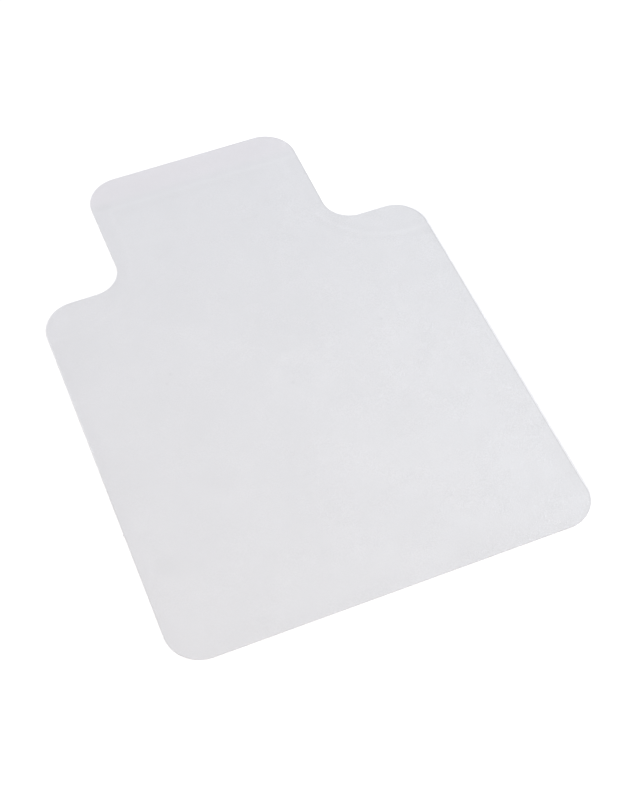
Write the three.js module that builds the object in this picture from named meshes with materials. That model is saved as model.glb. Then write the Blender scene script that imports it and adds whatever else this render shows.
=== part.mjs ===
// Lipped chair mat for a hard floor: one flexible frosted vinyl sheet that a desk chair rolls on.
//
// Units are millimetres and +Z is up. The mat lies on the floor plane z = 0. The origin is under the
// middle of its overall length and width, and +Y points to the lip, the narrow tongue that slides
// under the desk between its pedestals.
//
// The sheet is made of two vinyl plies, welded face to face over their whole area and then cut to
// one outline:
//   base_sheet   the thick lower ply, which lies on the floor
//   wear_layer   the thin embossed upper ply, which the casters roll on

import * as THREE from 'three';

// Driving dimensions
const MAT_WIDTH = 900;
const MAT_LENGTH = 1250; // from the front edge to the end of the lip
const LIP_WIDTH = 500;
const LIP_LENGTH = 320; // from the shoulders to the end of the lip
const CORNER_RADIUS = 75; // all six outer corners
const FILLET_RADIUS = 65; // the two inner corners, where the lip meets the shoulders
const BASE_THICKNESS = 1.5;
const WEAR_THICKNESS = 0.5;

// Each round corner is drawn with this many chords
const CHORDS_PER_CORNER = 24;

const QUARTER_TURN = Math.PI / 2;

const frostedVinyl = { color: 0xe3e3e8, metalness: 0 };

// The outline of the mat, anticlockwise from the front right corner. Each absarc call draws one
// round corner and joins it to the one before with a straight edge.
function matOutline() {
  const side = MAT_WIDTH / 2;
  const lipSide = LIP_WIDTH / 2;
  const lipEnd = MAT_LENGTH / 2;
  const front = -lipEnd;
  const shoulder = lipEnd - LIP_LENGTH;

  const outline = new THREE.Shape();

  const outerCorner = (x, y, towardX, towardY, startAngle) => {
    const centreX = x - towardX * CORNER_RADIUS;
    const centreY = y - towardY * CORNER_RADIUS;
    outline.absarc(centreX, centreY, CORNER_RADIUS, startAngle, startAngle + QUARTER_TURN, false);
  };

  const innerCorner = (x, towardX, startAngle) => {
    const centreX = x + towardX * FILLET_RADIUS;
    const centreY = shoulder + FILLET_RADIUS;
    outline.absarc(centreX, centreY, FILLET_RADIUS, startAngle, startAngle - QUARTER_TURN, true);
  };

  outerCorner(side, front, 1, -1, -QUARTER_TURN);
  outerCorner(side, shoulder, 1, 1, 0);
  innerCorner(lipSide, 1, -QUARTER_TURN);
  outerCorner(lipSide, lipEnd, 1, 1, 0);
  outerCorner(-lipSide, lipEnd, -1, 1, QUARTER_TURN);
  innerCorner(-lipSide, -1, 0);
  outerCorner(-side, shoulder, -1, 1, QUARTER_TURN);
  outerCorner(-side, front, -1, -1, 2 * QUARTER_TURN);
  outline.closePath();
  return outline;
}

// One ply: the mat's outline, as thick as the ply, with its lower face at the given height
function makePly(name, lowerFace, thickness, roughness) {
  const geometry = new THREE.ExtrudeGeometry(matOutline(), {
    depth: thickness,
    bevelEnabled: false,
    curveSegments: CHORDS_PER_CORNER / 2, // three.js cuts an arc into twice this many chords
  });
  const material = new THREE.MeshStandardMaterial({ ...frostedVinyl, roughness });
  const ply = new THREE.Mesh(geometry, material);
  ply.name = name;
  ply.position.z = lowerFace;
  return ply;
}

const BASE_ROUGHNESS = 0.6;
const WEAR_ROUGHNESS = 0.45;

const chairMat = new THREE.Group();
chairMat.add(makePly('base_sheet', 0, BASE_THICKNESS, BASE_ROUGHNESS));
chairMat.add(makePly('wear_layer', BASE_THICKNESS, WEAR_THICKNESS, WEAR_ROUGHNESS));

export default chairMat;
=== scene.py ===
"""The looks of a lipped chair mat: a frosted vinyl sheet of two welded plies on a pale floor.

Metres, +Z up, +Y towards the lip. The two CAD plies give the mat's outer size. This script builds
each ply again as a fine mesh that lies a little unevenly, with its embossed grain, its rounded cut
edge and the nubs that the cutting die leaves.
"""

import math
from bisect import bisect
from collections import Counter

import bpy
from mathutils import Matrix, Vector, noise
from mathutils.geometry import delaunay_2d_cdt
from mathutils.kdtree import KDTree


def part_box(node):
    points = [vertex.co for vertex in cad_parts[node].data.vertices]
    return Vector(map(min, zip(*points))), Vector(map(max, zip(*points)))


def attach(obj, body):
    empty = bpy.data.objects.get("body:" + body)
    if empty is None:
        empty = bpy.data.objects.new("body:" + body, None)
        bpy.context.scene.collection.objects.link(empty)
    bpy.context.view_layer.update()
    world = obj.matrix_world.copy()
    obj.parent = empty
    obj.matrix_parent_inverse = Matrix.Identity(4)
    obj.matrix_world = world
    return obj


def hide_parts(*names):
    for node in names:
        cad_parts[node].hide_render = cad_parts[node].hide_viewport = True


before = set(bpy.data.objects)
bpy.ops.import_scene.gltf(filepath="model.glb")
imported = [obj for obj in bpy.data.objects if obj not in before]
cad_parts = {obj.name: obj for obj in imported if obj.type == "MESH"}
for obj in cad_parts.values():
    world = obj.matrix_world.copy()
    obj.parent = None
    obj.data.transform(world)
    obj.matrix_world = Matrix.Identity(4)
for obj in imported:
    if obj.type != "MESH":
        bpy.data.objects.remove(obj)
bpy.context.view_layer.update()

MM = 0.001

# ---------------------------------------------------------------------------------------------
# Plan of the mat. The outer sizes and the ply heights come from the CAD boxes.
# ---------------------------------------------------------------------------------------------
base_low, base_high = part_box("base_sheet")
wear_low, wear_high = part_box("wear_layer")

SIDE = base_high.x
LIP_END = base_high.y
FRONT = base_low.y
SHOULDER = LIP_END - 320 * MM
LIP_SIDE = 250 * MM
CORNER_RADIUS = 75 * MM
FILLET_RADIUS = 65 * MM

PLY_GAP = 0.01 * MM  # keeps the two welded faces from lying in one plane
WELD_INSET = 0.06 * MM  # how far the welded faces end inside the cut edge

EMBOSS_PITCH = 17 * MM  # the emboss roller's pattern repeats at this step, along and across
# The lines of the embossed face's mesh in one pitch: right of the roller's seam they go through
# the dimples
FINE_COLUMNS = (0, 0.14, 0.28, 0.56, 0.72)
FINE_ROWS = (0, 0.24, 0.44, 0.64, 0.82)
RING_STEP = 6.8 * MM  # length of the rim's facets
FINE_MARGIN = 4.4 * MM  # the squares of the embossed face stay this far inside the cut edge
COARSE_STEP = 2 * EMBOSS_PITCH  # mesh step of the hidden and smooth faces
COARSE_MARGIN = COARSE_STEP / 2  # and how far inside the cut edge their squares stay
BORDER_STEP = 1 * MM  # spacing of the outline's points that distances are measured from

# Where the die left a bridge uncut: which side, and how far from the front edge
CUT_NUBS = ((1, 117 * MM), (1, 634 * MM), (-1, 319 * MM))
NUB_HALF_WIDTH = 1.6 * MM
NUB_HEIGHT = 1.8 * MM
# Across a nub and a little past it: place as a share of its half width, height as a share of its height
NUB_PROFILE = ((-1.5, 0), (-1, 0), (-0.6, 0.8), (0, 1), (0.6, 0.8), (1, 0), (1.5, 0))
SIDEWAYS = 0.999  # a normal with more X than this belongs to a straight side


def arc(centre_x, centre_y, radius, start, turn, step):
    """Points and outward normals round part of a circle; a clockwise turn is a hollow corner."""
    count = round(abs(turn) * radius / step)
    facing = 1 if turn > 0 else -1
    ring = []
    for i in range(count + 1):
        angle = start + turn * i / count
        normal = Vector((math.cos(angle), math.sin(angle)))
        ring.append((Vector((centre_x, centre_y)) + radius * normal, facing * normal))
    return ring


def joined_by_edges(corners, step):
    """The corner arcs in order, with the straight edges between them divided at about step."""
    ring = []
    for corner, following in zip(corners, corners[1:] + corners[:1]):
        ring += corner
        start, normal = corner[-1]
        end = following[0][0]
        count = max(1, round((end - start).length / step))
        ring += [(start.lerp(end, i / count), normal) for i in range(1, count)]
    return ring


def outline(step, side=SIDE, front=FRONT, shoulder=SHOULDER, lip_side=LIP_SIDE, lip_end=LIP_END,
            corner=CORNER_RADIUS, fillet=FILLET_RADIUS):
    """The mat's outline, anticlockwise from the front right corner, as (point, outward normal)."""
    quarter = math.pi / 2
    corners = [
        arc(side - corner, front + corner, corner, -quarter, quarter, step),
        arc(side - corner, shoulder - corner, corner, 0, quarter, step),
        arc(lip_side + fillet, shoulder + fillet, fillet, -quarter, -quarter, step),
        arc(lip_side - corner, lip_end - corner, corner, 0, quarter, step),
        arc(corner - lip_side, lip_end - corner, corner, quarter, quarter, step),
        arc(-lip_side - fillet, shoulder + fillet, fillet, 0, -quarter, step),
        arc(corner - side, shoulder - corner, corner, quarter, quarter, step),
        arc(corner - side, front + corner, corner, 2 * quarter, quarter, step),
    ]
    return joined_by_edges(corners, step)


class Border:
    """Tells how far a point of the plan is inside an outline."""

    def __init__(self, ring):
        self.normals = [normal for _, normal in ring]
        self.tree = KDTree(len(ring))
        for i, (point, _) in enumerate(ring):
            self.tree.insert(point.to_3d(), i)
        self.tree.balance()

    def depth(self, x, y):
        """Distance inside the outline; negative outside."""
        point = Vector((x, y, 0))
        nearest, index, _ = self.tree.find(point)
        return -(point - nearest).to_2d().dot(self.normals[index])


cut_edge = Border(outline(BORDER_STEP))

# ---------------------------------------------------------------------------------------------
# How the sheet lies: on the floor, but not perfectly flat
# ---------------------------------------------------------------------------------------------
# A faint crease runs along the shoulders, up the sides of the lip and across it. It is an outline
# like the mat's, and its other sides are off the mat
CREASE_ALONG = SHOULDER - 88 * MM
CREASE_ACROSS = LIP_END - 90 * MM
CREASE_SIDE = LIP_SIDE - 38 * MM
CREASE_CORNER = 12 * MM
CREASE_FILLET = 195 * MM
CREASE_HEIGHT = 0.35 * MM
CREASE_HALF_WIDTH = 7 * MM
OFF_THE_MAT = 150 * MM
crease = Border(outline(2 * BORDER_STEP, side=SIDE + OFF_THE_MAT, front=FRONT - OFF_THE_MAT,
                        shoulder=CREASE_ALONG, lip_side=CREASE_SIDE, lip_end=CREASE_ACROSS,
                        corner=CREASE_CORNER, fillet=CREASE_FILLET))

RIPPLE_HEIGHT = 1.0 * MM
RIPPLE_LENGTH = 190 * MM
RIPPLE_SLICE = 0.4  # the level at which the ripples cut through the solid noise
RIPPLE_RISE = 0.15  # more of this lifts more of the sheet off the floor
FLAT_BORDER = 60 * MM  # ripples and crease die out over this distance from the cut edge


def smooth_step(value):
    """0 below 0, 1 above 1 and a smooth rise between."""
    value = min(1, max(0, value))
    return value * value * (3 - 2 * value)


def crease_distance(x, y):
    """Distance from the crease, whose part across the lip goes on to both cut edges."""
    return min(abs(crease.depth(x, y)), abs(CREASE_ACROSS - y))


def flattened(height, x, y):
    """The height as it dies out towards the cut edge."""
    return height * smooth_step(cut_edge.depth(x, y) / FLAT_BORDER)


def lift(x, y):
    """How far the sheet's underside is off the floor."""
    here = Vector((x / RIPPLE_LENGTH, y / RIPPLE_LENGTH, RIPPLE_SLICE))
    return flattened(RIPPLE_HEIGHT * max(0, noise.noise(here) + RIPPLE_RISE), x, y)


def fold(x, y):
    """How far the crease rises out of the embossed face."""
    share = math.exp(-(crease_distance(x, y) / CREASE_HALF_WIDTH) ** 2)
    return flattened(CREASE_HEIGHT * share, x, y)


# ---------------------------------------------------------------------------------------------
# The emboss, as far as the mesh carries it; the material adds what is finer
# ---------------------------------------------------------------------------------------------
# The dimples in one repeat of the roller: place as a share of the pitch, and depth as a share
DIMPLES = ((0.28, 0.0, 1.0), (0.72, 0.64, 1.0), (0.56, 0.24, 0.6), (0.0, 0.24, 0.6))
DIMPLE_SHARPNESS = 3.2
EMBOSS_DEPTH = 0.14 * MM
ROLLER_SEAM = -72 * MM  # left of this line the roller's pattern starts again
SEAM_SHIFT = 0.4  # as a share of the pitch
EMBOSS_START = 4 * MM  # the cut edge is crushed smooth up to here
EMBOSS_FULL = 10 * MM


def emboss(x, y):
    """Height of the embossed face: 0 between the dimples, towards -1 in the deepest."""
    across = x / EMBOSS_PITCH + (SEAM_SHIFT if x < ROLLER_SEAM else 0)
    along = y / EMBOSS_PITCH
    return -sum(
        depth * math.exp(DIMPLE_SHARPNESS * (
            math.cos(math.tau * (across - u)) + math.cos(math.tau * (along - v)) - 2))
        for u, v, depth in DIMPLES)


def embossed_relief(x, y, inset):
    """Height of the embossed face over a flat one, this far inside the cut edge."""
    share = smooth_step((inset - EMBOSS_START) / (EMBOSS_FULL - EMBOSS_START))
    return EMBOSS_DEPTH * share * emboss(x, y) + fold(x, y)


# ---------------------------------------------------------------------------------------------
# Meshes
# ---------------------------------------------------------------------------------------------
def with_cut_nubs(ring):
    """The ring with each cut nub standing out of its side edge."""
    kept = [
        (point, normal) for point, normal in ring
        if not any(
            point.x * side > 0 and abs(normal.x) > SIDEWAYS
            and abs(point.y - FRONT - along) < 2 * NUB_HALF_WIDTH
            for side, along in CUT_NUBS
        )
    ]
    for side, along in CUT_NUBS:
        profile = []
        for share, height in NUB_PROFILE:
            y = FRONT + along + share * NUB_HALF_WIDTH * side
            x = side * (SIDE + height * NUB_HEIGHT)
            profile.append((Vector((x, y)), Vector((side, 0))))
        # the ring runs up the right side and down the left one
        index = next(
            i for i, (point, normal) in enumerate(kept)
            if normal.x * side > SIDEWAYS and (point.y - FRONT - along) * side > 0
        )
        kept[index:index] = profile
    return kept


def mesh_lines(reach, pitch, shares=(0,)):
    """Coordinates of the mesh lines from -reach to reach: at these shares of every pitch."""
    count = math.ceil(reach / pitch)
    lines = [pitch * (k + share) for k in range(-count, count) for share in shares]
    return [line for line in lines if abs(line) < reach]


def plan_mesh(ring, columns, rows, margin):
    """Squares between the mesh lines, at least margin inside the cut edge, and triangles from them
    out to the ring. Gives the points, the ring's points first, and the faces."""
    inside = {
        (i, j)
        for i, x in enumerate(columns)
        for j, y in enumerate(rows)
        if cut_edge.depth(x, y) > margin
    }
    squares = [
        [(i, j), (i + 1, j), (i + 1, j + 1), (i, j + 1)]
        for i, j in sorted(inside)
        if {(i + 1, j), (i + 1, j + 1), (i, j + 1)} <= inside
    ]
    filled = {square[0] for square in squares}
    used = sorted({corner for square in squares for corner in square})
    number = {corner: len(ring) + n for n, corner in enumerate(used)}
    points = ring + [Vector((columns[i], rows[j])) for i, j in used]
    faces = [[number[corner] for corner in square] for square in squares]

    # the edges with a square on one side only are the inner border of the band of triangles
    uses = Counter(
        tuple(sorted(edge)) for face in faces for edge in zip(face, face[1:] + face[:1]))
    inner = [edge for edge, count in uses.items() if count == 1]
    band = list(range(len(ring))) + sorted({n for edge in inner for n in edge})
    place = {n: k for k, n in enumerate(band)}
    edges = [(k, (k + 1) % len(ring)) for k in range(len(ring))]
    edges += [(place[a], place[b]) for a, b in inner]
    inside_only = 1
    same_point = 1e-7
    tiling = delaunay_2d_cdt([points[n] for n in band], edges, [], inside_only, same_point)
    triangles, originals = tiling[2], tiling[3]
    for triangle in triangles:
        corners = [band[originals[k][0]] for k in triangle]
        centre = sum((points[n] for n in corners), Vector((0, 0))) / 3
        cell = (bisect(columns, centre.x) - 1, bisect(rows, centre.y) - 1)
        if cell not in filled:
            faces.append(corners)
    return points, faces


def ply_mesh(name, profile, columns, rows, margin, embossed):
    """One ply as a closed mesh. profile lists (inset, height) of the rim's rings from the top face
    round the cut edge to the bottom face; the mesh lines and the margin are the top face's."""
    ring = with_cut_nubs(outline(RING_STEP))
    rings = [[point - inset * normal for point, normal in ring] for inset, _ in profile]
    count = len(ring)
    vertices = []
    edge_depths = []
    crease_distances = []

    def add(point, height, inset):
        """A vertex over this plan point, this far inside the cut edge."""
        vertices.append((point.x, point.y, height + lift(point.x, point.y)))
        edge_depths.append(inset)
        crease_distances.append(crease_distance(point.x, point.y))
        return len(vertices) - 1

    top_points, faces = plan_mesh(rings[0], columns, rows, margin)
    above = [add(point, profile[0][1], profile[0][0]) for point in rings[0]]
    for point in top_points[count:]:
        inset = cut_edge.depth(point.x, point.y)
        relief = embossed_relief(point.x, point.y, inset) if embossed else 0
        add(point, profile[0][1] + relief, inset)

    for points, (inset, height) in zip(rings[1:], profile[1:]):
        below = [add(point, height, inset) for point in points]
        for k in range(count):
            after = (k + 1) % count
            faces.append([above[after], above[k], below[k], below[after]])
        above = below

    bottom_lines = mesh_lines(SIDE, COARSE_STEP), mesh_lines(LIP_END, COARSE_STEP)
    bottom_points, bottom_faces = plan_mesh(rings[-1], *bottom_lines, COARSE_MARGIN)
    floor_height = profile[-1][1]
    number = above + [add(point, floor_height, cut_edge.depth(point.x, point.y))
                      for point in bottom_points[count:]]
    # turned over, but with the diagonals of a top face, so that the welded faces don't cross
    faces += [[number[n] for n in face[:1] + face[:0:-1]] for face in bottom_faces]

    mesh = bpy.data.meshes.new(name)
    mesh.from_pydata(vertices, [], faces)
    mesh.shade_smooth()
    for attribute, values in (("edge_depth", edge_depths), ("crease_distance", crease_distances)):
        mesh.attributes.new(attribute, "FLOAT", "POINT").data.foreach_set("value", values)
    piece = bpy.data.objects.new(name, mesh)
    bpy.context.scene.collection.objects.link(piece)
    return piece


def wear_profile():
    """Rim of the upper ply, from the top face out and down the rounded cut edge."""
    top, low = wear_high.z, wear_low.z
    return (
        (2.4 * MM, top),
        (1.2 * MM, top + 0.02 * MM),
        (0.55 * MM, top - 0.02 * MM),
        (0.2 * MM, top - 0.12 * MM),
        (0.03 * MM, top - 0.3 * MM),
        (WELD_INSET, low + PLY_GAP),
    )


def base_profile():
    """Rim of the lower ply: a straight cut with its two edges just broken."""
    top, low = base_high.z, base_low.z
    return (
        (WELD_INSET, top),
        (0, top - WELD_INSET),
        (0, low + 0.1 * MM),
        (0.1 * MM, low),
    )


# ---------------------------------------------------------------------------------------------
# Materials
# ---------------------------------------------------------------------------------------------
VINYL_TONE = (0.82, 0.82, 0.835)
TRANSLUCENCY = 0.3
REFRACTION = 1.53
WEAR_ROUGHNESS = 0.48
BASE_ROUGHNESS = 0.55
HAZE_SIZE = 70 * MM
HAZE = 0.03  # how far the roughness strays to each side
NOISE_SPREAD = (0.3, 0.7)  # a noise texture stays mostly between these

# Relief that is too fine for the mesh
FROST_SIZE = 0.9 * MM
FROST_DEPTH = 0.02 * MM
FROST_STRENGTH = 0.5
PEBBLE_SIZE = 3.2 * MM
PEBBLE_DEPTH = 0.55 * MM
DIMPLE_BUMP = 0.05 * MM

# Each shade below is a share of the light that a feature adds, or takes away where it is negative.
# A pair of places is the stretch over which a feature comes in or dies out. A pair of strengths
# holds on the left and on the right, unless it says otherwise
CLOUD_SIZE = 160 * MM
CLOUD_SHADE = 0.008
# the grain's colour is darker where the pebbles' bump is low: partly the vinyl's own grain, partly
# painted shade in the hollows
PEBBLE_SHADE = 0.022
MOTTLE_SIZE = 36 * MM
MOTTLE_SHADE = 0.006
DRIFT_SHADE = 0.005  # at the front right and rear left corners; the opposite at the other two
LIP_END_TINT = (0.014, 0, 0.006)  # the end of the lip, beyond the crease, is a little pinker
LIP_END_TINT_FADE = (CREASE_ACROSS, CREASE_ACROSS + 40 * MM)

# The grain comes and goes in patches; it is strongest at the right and weak on the lip
PATCH_SIZE = 75 * MM
PATCH_SPREAD = (0.36, 0.64)
PATCH_STRENGTH = (0.45, 1.25)  # between the patches, and in them
GRAIN_LEFT_TO_RIGHT = (0.5, 1.2)
GRAIN_AT_LIP_END = 0.45

# Along the crease a pale line, a painted highlight, lies between two darker bands of painted shade. It
# shows well on the right shoulder and across the lip, and hardly on the sides of the lip
CREASE_LINE = (2 * MM, 7 * MM)
CREASE_LINE_HIGHLIGHT = 0.014
CREASE_BAND_PLACE = 14 * MM  # how far the middle of each band is from the line
CREASE_BAND = (2 * MM, 16 * MM)
CREASE_BAND_SHADE = -0.010
CREASE_ON_SHOULDERS = (0.15, 1.1)
CREASE_AT_LEFT_END = 0.3
LEFT_END_FADE = (-SIDE + 20 * MM, -SIDE + 80 * MM)
CREASE_ON_LIP_SIDES = (0.45, 0.15)
LIP_SIDES_FADE = (SHOULDER, SHOULDER + 80 * MM)
CREASE_ACROSS_LIP = 0.75
ACROSS_LIP_FADE = (CREASE_ACROSS - 60 * MM, CREASE_ACROSS - 30 * MM)

# Near the cut edge the sheet is darker along its two sides and paler across the lip's end
BORDER_FADE = (4 * MM, 34 * MM)
SIDE_BORDER_SHADE = -0.007
SIDE_BORDER_START = (FRONT + 20 * MM, FRONT + 150 * MM)
SIDE_BORDER_END = (SHOULDER - 150 * MM, SHOULDER - 50 * MM)
LIP_BORDER_SHADE = 0.017
LIP_BORDER_START = (LIP_END - 110 * MM, LIP_END - 30 * MM)

# At the rim a pale strip of painted glow, the cut, lies outside a thin line of painted shade whose
# darkness changes from side to side
RIGHT_RIM = (SIDE - 50 * MM, SIDE - 15 * MM)
LEFT_RIM = (-SIDE + 15 * MM, -SIDE + 50 * MM)
# the painted glow: how much paler the cut's strip is than the sheet
CUT_PAINTED_GLOW = 0.17
STRIP_TRACE = 0.3 * MM  # its width everywhere but along the right side
STRIP_WIDTH = 4.2 * MM
STRIP_WIDTH_BEHIND = 3.3 * MM
STRIP_START = (FRONT + 20 * MM, FRONT + 100 * MM)
STRIP_NARROWING = (-100 * MM, 50 * MM)
STRIP_SOFTNESS = 0.2 * MM
RIM_LINE = (0.84 * MM, 2.8 * MM)
RIM_LINE_EVERYWHERE = -0.02
RIM_LINE_RIGHT = 0.16
RIM_LINE_RIGHT_START = (FRONT + 10 * MM, FRONT + 90 * MM)
RIM_LINE_AT_FRONT = 0.4  # as a share of the line's darkness further along the right side
RIM_LINE_LEFT = (0.06, -0.07)  # towards the front, and towards the lip
RIM_LINE_LEFT_CHANGE = (-200 * MM, -80 * MM)
RIM_LINE_LIP = (0.01, 0.17)
RIM_LINE_LIP_START = (SHOULDER - 10 * MM, SHOULDER + 40 * MM)

# Soft round marks: place, radius, how much darker inside, or paler if negative, and how much paler
# in a ring round it
DISC_MARKS = (
    (60 * MM, -290 * MM, 120 * MM, -0.010, 0.0),
    (70 * MM, 130 * MM, 120 * MM, 0.010, 0.0),
    (17 * MM, -67 * MM, 42 * MM, 0.014, 0.007),
    (-223 * MM, -252 * MM, 44 * MM, 0.010, 0.006),
    (-140 * MM, 375 * MM, 36 * MM, 0.008, 0.002),
    (-140 * MM, 165 * MM, 44 * MM, 0.006, 0.0),
    (202 * MM, -217 * MM, 34 * MM, 0.013, 0.003),
    (252 * MM, -57 * MM, 50 * MM, -0.006, 0.0),
    (190 * MM, 160 * MM, 34 * MM, 0.001, 0.006),
    (170 * MM, -600 * MM, 40 * MM, 0.012, 0.0),
    (-398 * MM, -407 * MM, 30 * MM, 0.023, 0.0),
    (-220 * MM, 545 * MM, 18 * MM, 0.020, 0.0),
)
MARK_REACHES = (0.3, 1.2, 2.0)  # in radii: the end of the dark core, of the mark and of its ring
# Small dark specks in the vinyl
SPECKS = (
    (-236 * MM, 35 * MM),
    (-250 * MM, 13 * MM),
    (-2 * MM, -84 * MM),
    (238 * MM, 3 * MM),
    (188 * MM, -467 * MM),
)
SPECK_RADIUS = 6.5 * MM
SPECK_SHADE = -0.07

FLOOR_TONE = (0.94, 0.94, 0.94, 1)
FLOOR_ROUGHNESS = 0.9
FLOOR_GLOSS = 0.1


class Nodes:
    """Adds nodes to a material's tree with few words."""

    def __init__(self, name):
        self.material = bpy.data.materials.new(name)
        self.material.use_nodes = True
        self.tree = self.material.node_tree
        self.shader = self.tree.nodes["Principled BSDF"]

    def add(self, kind, settings=None, **inputs):
        node = self.tree.nodes.new(kind)
        for key, value in (settings or {}).items():
            setattr(node, key, value)
        for key, value in inputs.items():
            self.set(node.inputs[key.replace("_", " ")], value)
        return node

    def set(self, socket, value):
        if isinstance(value, bpy.types.NodeSocket):
            self.tree.links.new(value, socket)
        else:
            socket.default_value = value

    def math(self, operation, a, b=0.0, c=0.0):
        node = self.tree.nodes.new("ShaderNodeMath")
        node.operation = operation
        for socket, value in zip(node.inputs, (a, b, c)):
            self.set(socket, value)
        return node.outputs[0]

    def noise(self, vector, size, detail):
        """Noise from 0 to 1 whose blobs are about size across."""
        return self.add("ShaderNodeTexNoise", Vector=vector, Scale=1 / size,
                        Detail=detail).outputs["Fac"]

    def attribute(self, name):
        return self.add("ShaderNodeAttribute", {"attribute_name": name}).outputs["Fac"]

    def scaled(self, vector, factor):
        node = self.add("ShaderNodeVectorMath", {"operation": "SCALE"}, Scale=factor)
        node.inputs[0].default_value = vector
        return node.outputs[0]

    def distance(self, vector, place):
        node = self.add("ShaderNodeVectorMath", {"operation": "DISTANCE"}, Vector=vector)
        node.inputs[1].default_value = place
        return node.outputs["Value"]

    def blend(self, first, second, share):
        """The first value, changing to the second as share goes from 0 to 1."""
        return self.math("MULTIPLY_ADD", self.math("SUBTRACT", second, first), share, first)

    def remap(self, value, low, high, to_low, to_high):
        """A smooth change from to_low, where value is low, to to_high, where it is high."""
        node = self.add("ShaderNodeMapRange", {"interpolation_type": "SMOOTHSTEP"})
        for socket, number in zip(node.inputs, (value, low, high, to_low, to_high)):
            self.set(socket, number)
        return node.outputs[0]

    def spread(self, noise, middle, reach):
        """The noise, turned into values from middle - reach to middle + reach."""
        return self.remap(noise, *NOISE_SPREAD, middle - reach, middle + reach)


def emboss_height(nodes, x, y):
    """The same dimples as emboss(), as a height for the bump."""
    seam = nodes.math("LESS_THAN", x, ROLLER_SEAM)
    across = nodes.math("MULTIPLY_ADD", seam, SEAM_SHIFT, nodes.math("DIVIDE", x, EMBOSS_PITCH))
    along = nodes.math("DIVIDE", y, EMBOSS_PITCH)

    def wave(turns, share):
        angle = nodes.math("MULTIPLY_ADD", turns, math.tau, -math.tau * share)
        return nodes.math("COSINE", angle)

    height = 0.0
    for u, v, depth in DIMPLES:
        both = nodes.math("ADD", wave(across, u), wave(along, v))
        power = nodes.math("MULTIPLY_ADD", both, DIMPLE_SHARPNESS, -2 * DIMPLE_SHARPNESS)
        height = nodes.math("MULTIPLY_ADD", nodes.math("EXPONENT", power), -depth, height)
    return height


def disc_mark(nodes, position, x, y, radius, darker, lighter):
    """Share of light that one round mark adds: less inside it, more in a soft ring round it."""
    away = nodes.distance(position, (x, y, 0))
    core, middle, outside = (reach * radius for reach in MARK_REACHES)
    inside = nodes.remap(away, core, middle, -darker - lighter, 0)
    around = nodes.remap(away, middle, outside, lighter, 0)
    return nodes.math("ADD", inside, around)


def speck(nodes, position, x, y):
    """Share of light that one speck takes away."""
    away = nodes.distance(position, (x, y, 0))
    return nodes.remap(away, 0, SPECK_RADIUS, SPECK_SHADE, 0)


def crease_highlight_and_shade(nodes, x, y):
    """Painted light along the crease: a painted highlight on it, painted shade beside it."""
    away = nodes.attribute("crease_distance")
    line = nodes.remap(away, *CREASE_LINE, CREASE_LINE_HIGHLIGHT, 0)
    from_band = nodes.math("ABSOLUTE", nodes.math("SUBTRACT", away, CREASE_BAND_PLACE))
    band = nodes.remap(from_band, *CREASE_BAND, CREASE_BAND_SHADE, 0)

    shoulders = nodes.math("ADD", nodes.remap(x, *LEFT_END_FADE, CREASE_AT_LEFT_END, 0),
                           nodes.remap(x, -LIP_SIDE, LIP_SIDE, *CREASE_ON_SHOULDERS))
    lip_sides = nodes.remap(x, -LIP_SIDE, LIP_SIDE, *CREASE_ON_LIP_SIDES)
    sides = nodes.blend(shoulders, lip_sides, nodes.remap(y, *LIP_SIDES_FADE, 0, 1))
    strength = nodes.blend(sides, CREASE_ACROSS_LIP, nodes.remap(y, *ACROSS_LIP_FADE, 0, 1))
    return nodes.math("MULTIPLY", nodes.math("ADD", line, band), strength)


def border_shade(nodes, edge_depth, y):
    """Share of light added near the cut edge: less along the two sides, more across the lip's end."""
    sides = nodes.math("ADD", nodes.remap(y, *SIDE_BORDER_START, 0, SIDE_BORDER_SHADE),
                       nodes.remap(y, *SIDE_BORDER_END, 0, -SIDE_BORDER_SHADE))
    lip_end = nodes.remap(y, *LIP_BORDER_START, 0, LIP_BORDER_SHADE)
    near_edge = nodes.remap(edge_depth, *BORDER_FADE, 1, 0)
    return nodes.math("MULTIPLY", near_edge, nodes.math("ADD", sides, lip_end))


def rim_line_darkness(nodes, x, y):
    """How much darker the rim's thin line of painted shade is than the sheet."""
    right = nodes.math("MULTIPLY", nodes.remap(x, *RIGHT_RIM, 0, RIM_LINE_RIGHT),
                       nodes.remap(y, *RIM_LINE_RIGHT_START, RIM_LINE_AT_FRONT, 1))
    left = nodes.math("MULTIPLY", nodes.remap(x, *LEFT_RIM, 1, 0),
                      nodes.remap(y, *RIM_LINE_LEFT_CHANGE, *RIM_LINE_LEFT))
    lip = nodes.math("MULTIPLY", nodes.remap(x, -LIP_SIDE, LIP_SIDE, *RIM_LINE_LIP),
                     nodes.remap(y, *RIM_LINE_LIP_START, 0, 1))
    sides = nodes.math("ADD", nodes.math("ADD", right, left), lip)
    return nodes.math("ADD", sides, RIM_LINE_EVERYWHERE)


def painted_strip_width(nodes, x, y):
    """Width of the pale strip of painted glow at the cut: wide enough to see on the right side, and
    else a trace.
    """
    along = nodes.math("MINIMUM", nodes.remap(y, *STRIP_START, 0, STRIP_WIDTH),
                       nodes.remap(y, *STRIP_NARROWING, STRIP_WIDTH, STRIP_WIDTH_BEHIND))
    right = nodes.math("MULTIPLY", nodes.remap(x, *RIGHT_RIM, 0, 1), along)
    return nodes.math("MAXIMUM", right, STRIP_TRACE)


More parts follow.
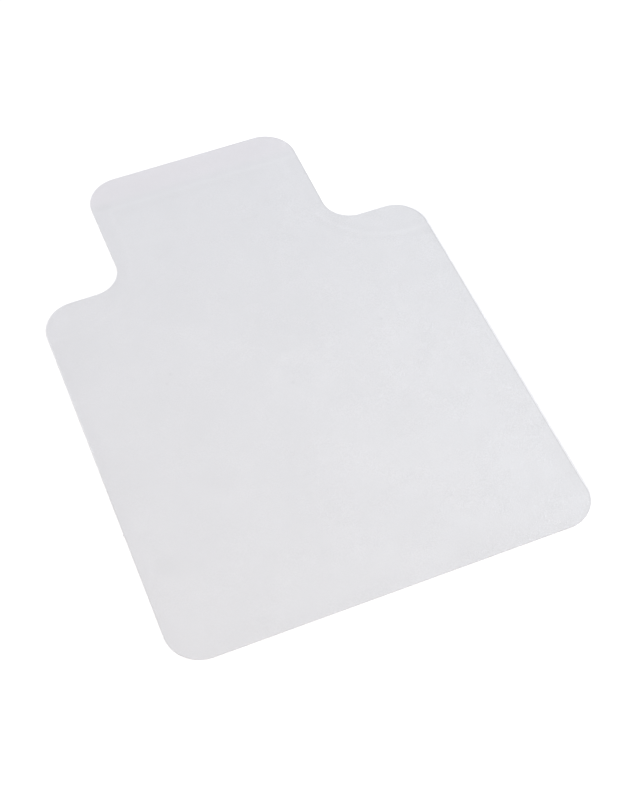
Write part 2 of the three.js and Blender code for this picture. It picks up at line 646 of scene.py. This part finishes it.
def rim_painted_light(nodes, edge_depth, x, y):
    """Factor on the light at the rim: painted glow in a pale strip at the cut, and painted shade in a
    thin line inside it.
    """
    past_strip = nodes.math("SUBTRACT", edge_depth, painted_strip_width(nodes, x, y))
    strip = nodes.remap(past_strip, -STRIP_SOFTNESS, STRIP_SOFTNESS, 1, 0)
    line = nodes.math("MULTIPLY", nodes.remap(past_strip, *RIM_LINE, 1, 0),
                      nodes.math("SUBTRACT", 1, strip))
    darker = nodes.math("MULTIPLY", rim_line_darkness(nodes, x, y), line)
    painted_glow = nodes.math("MULTIPLY_ADD", strip, CUT_PAINTED_GLOW, 1)
    return nodes.math("MULTIPLY", painted_glow, nodes.math("SUBTRACT", 1, darker))


def grain_strength(nodes, position, x, y):
    """How strongly the embossed grain shows here."""
    patches = nodes.noise(position, PATCH_SIZE, detail=2)
    patchy = nodes.remap(patches, *PATCH_SPREAD, *PATCH_STRENGTH)
    across = nodes.remap(x, -SIDE, SIDE, *GRAIN_LEFT_TO_RIGHT)
    along = nodes.remap(y, SHOULDER, LIP_END, 1, GRAIN_AT_LIP_END)
    return nodes.math("MULTIPLY", nodes.math("MULTIPLY", patchy, across), along)


def embossed_shade(nodes, position, x, y, edge_depth, pebbles, strength):
    """Share of light that the marks and the grain of the embossed face add, the grain partly as painted
    shade in its hollows, with the painted highlight and shade along the crease.
    """
    mottle = nodes.noise(position, MOTTLE_SIZE, detail=1)
    # the pebbles' part of the grain is painted shade in the bump's hollows as well as grain
    grain = nodes.math("ADD", nodes.spread(pebbles, 0, PEBBLE_SHADE),
                       nodes.spread(mottle, 0, MOTTLE_SHADE))
    crosswise = nodes.math("MULTIPLY", x, y)
    features = [
        nodes.math("MULTIPLY", grain, strength),
        crease_highlight_and_shade(nodes, x, y),
        border_shade(nodes, edge_depth, y),
        nodes.math("MULTIPLY", crosswise, -DRIFT_SHADE / (SIDE * LIP_END)),
    ]
    features += [disc_mark(nodes, position, *mark) for mark in DISC_MARKS]
    features += [speck(nodes, position, *place) for place in SPECKS]
    shade = features[0]
    for feature in features[1:]:
        shade = nodes.math("ADD", shade, feature)
    return shade


def vinyl(name, roughness, embossed):
    """Frosted, semi-translucent vinyl; the upper ply has the embossed grain."""
    nodes = Nodes(name)
    shader = nodes.shader
    position = nodes.add("ShaderNodeTexCoord").outputs["Object"]
    x, y, _ = nodes.add("ShaderNodeSeparateXYZ", Vector=position).outputs
    edge_depth = nodes.attribute("edge_depth")

    # colour: a little cloudy, with the marks and grain of the embossed face, painted highlight and
    # shade along the crease, and painted glow and shade at the rim
    clouds = nodes.noise(position, CLOUD_SIZE, detail=3)
    shade = nodes.spread(clouds, 1, CLOUD_SHADE)
    if embossed:
        strength = grain_strength(nodes, position, x, y)
        pebbles = nodes.noise(position, PEBBLE_SIZE, detail=1)
        # the marks include the crease's painted highlight and shade
        marks_and_painted_light = embossed_shade(nodes, position, x, y, edge_depth, pebbles, strength)
        shade = nodes.math("ADD", shade, marks_and_painted_light)
    shade = nodes.math("MULTIPLY", shade, rim_painted_light(nodes, edge_depth, x, y))
    colour = nodes.add("ShaderNodeVectorMath", {"operation": "ADD"})
    nodes.set(colour.inputs[0], nodes.scaled(VINYL_TONE, shade))
    nodes.set(colour.inputs[1], nodes.scaled(LIP_END_TINT, nodes.remap(y, *LIP_END_TINT_FADE, 0, 1)))
    nodes.set(shader.inputs["Base Color"], colour.outputs[0])
    nodes.set(shader.inputs["Transmission Weight"], TRANSLUCENCY)
    nodes.set(shader.inputs["IOR"], REFRACTION)

    # gloss: frosted, with a hazy variation
    haze = nodes.noise(position, HAZE_SIZE, detail=2)
    nodes.set(shader.inputs["Roughness"], nodes.spread(haze, roughness, HAZE))

    # relief: frosting under a millimetre, the pebbles, and the dimples of the emboss
    frost = nodes.noise(position, FROST_SIZE, detail=2)
    relief = nodes.add("ShaderNodeBump", Height=frost, Distance=FROST_DEPTH, Strength=FROST_STRENGTH)
    if embossed:
        pebble_height = nodes.math("MULTIPLY", pebbles, strength)
        relief = nodes.add("ShaderNodeBump", Height=pebble_height, Distance=PEBBLE_DEPTH,
                           Strength=1.0, Normal=relief.outputs[0])
        dimples = emboss_height(nodes, x, y)
        relief = nodes.add("ShaderNodeBump", Height=dimples, Distance=DIMPLE_BUMP,
                           Strength=1.0, Normal=relief.outputs[0])
    nodes.set(shader.inputs["Normal"], relief.outputs[0])
    return nodes.material


def floor_material():
    nodes = Nodes("pale_floor")
    nodes.set(nodes.shader.inputs["Base Color"], FLOOR_TONE)
    nodes.set(nodes.shader.inputs["Roughness"], FLOOR_ROUGHNESS)
    nodes.set(nodes.shader.inputs["Specular IOR Level"], FLOOR_GLOSS)
    return nodes.material


# ---------------------------------------------------------------------------------------------
# The pieces
# ---------------------------------------------------------------------------------------------
def make_piece(node, piece_name, profile, columns, rows, margin, embossed, material):
    piece = ply_mesh(piece_name, profile, columns, rows, margin, embossed)
    piece.data.materials.append(material)
    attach(piece, "root")
    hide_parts(node)
    return piece


wear_piece = make_piece(
    "wear_layer", "embossed_wear_layer", wear_profile(),
    mesh_lines(SIDE, EMBOSS_PITCH, FINE_COLUMNS), mesh_lines(LIP_END, EMBOSS_PITCH, FINE_ROWS),
    FINE_MARGIN, embossed=True, material=vinyl("embossed_vinyl", WEAR_ROUGHNESS, embossed=True))

base_piece = make_piece(
    "base_sheet", "smooth_base_sheet", base_profile(),
    mesh_lines(SIDE, COARSE_STEP), mesh_lines(LIP_END, COARSE_STEP),
    COARSE_MARGIN, embossed=False, material=vinyl("base_vinyl", BASE_ROUGHNESS, embossed=False))


# ---------------------------------------------------------------------------------------------
# Floor, light and camera
# ---------------------------------------------------------------------------------------------
FLOOR_HALF = 30

SKY_COLOUR = (0.81, 0.865, 1.0)
SKY_STRENGTH = 0.79
# Where the softboxes and the camera are: azimuth and elevation in degrees, seen from the mat.
# Azimuth 0 is in front of it and 90 to the right
KEY_PLACE = (330, 75)
KEY_COLOUR = (1.0, 0.835, 0.6)
KEY_POWER = 87
BACK_PLACE = (120, 55)
BACK_COLOUR = (0.9, 0.99, 1.0)
BACK_POWER = 53.5
SOFTBOX_SIZE = 1.6
SOFTBOX_DISTANCE = 4.5

CAMERA_PLACE = (-21.53, 54.05)
CAMERA_ROLL = -0.67
CAMERA_DISTANCE = 3.363
CAMERA_AIM = Vector((0.0332, -0.1469, 0))
SENSOR_WIDTH = 36
LENS = 72.15


def make_floor():
    half = FLOOR_HALF
    mesh = bpy.data.meshes.new("floor")
    corners = [(-half, -half, 0), (half, -half, 0), (half, half, 0), (-half, half, 0)]
    mesh.from_pydata(corners, [], [(0, 1, 2, 3)])
    mesh.materials.append(floor_material())
    floor = bpy.data.objects.new("floor", mesh)
    bpy.context.scene.collection.objects.link(floor)


def make_sky(colour, strength):
    world = bpy.data.worlds.new("studio")
    world.use_nodes = True
    background = world.node_tree.nodes["Background"]
    background.inputs["Color"].default_value = (*colour, 1)
    background.inputs["Strength"].default_value = strength
    bpy.context.scene.world = world


def direction(azimuth, elevation):
    """The way from the mat to something."""
    across = math.radians(azimuth)
    up = math.radians(elevation)
    return Vector((math.sin(across) * math.cos(up), -math.cos(across) * math.cos(up), math.sin(up)))


def make_softbox(name, place, colour, power):
    """A square softbox that faces the mat."""
    light = bpy.data.lights.new(name, "AREA")
    light.shape = "SQUARE"
    light.size = SOFTBOX_SIZE
    light.color = colour
    light.energy = power
    lamp = bpy.data.objects.new(name, light)
    toward = direction(*place)
    lamp.location = SOFTBOX_DISTANCE * toward
    lamp.rotation_euler = toward.to_track_quat("Z", "Y").to_euler()
    bpy.context.scene.collection.objects.link(lamp)


def make_camera():
    """Stands in front of the mat and to its left, looking down at it."""
    data = bpy.data.cameras.new("camera")
    data.sensor_width = SENSOR_WIDTH
    data.lens = LENS
    camera = bpy.data.objects.new("camera", data)
    back = direction(*CAMERA_PLACE)
    upright = (-back).to_track_quat("-Z", "Y").to_matrix()
    turn = upright @ Matrix.Rotation(math.radians(CAMERA_ROLL), 3, "Z")
    place = CAMERA_AIM + CAMERA_DISTANCE * back
    camera.matrix_world = Matrix.Translation(place) @ turn.to_4x4()
    bpy.context.scene.collection.objects.link(camera)
    bpy.context.scene.camera = camera


make_floor()
make_sky(SKY_COLOUR, SKY_STRENGTH)
make_softbox("key_softbox", KEY_PLACE, KEY_COLOUR, KEY_POWER)
make_softbox("back_softbox", BACK_PLACE, BACK_COLOUR, BACK_POWER)
make_camera()
bpy.context.scene.view_settings.view_transform = "Standard"
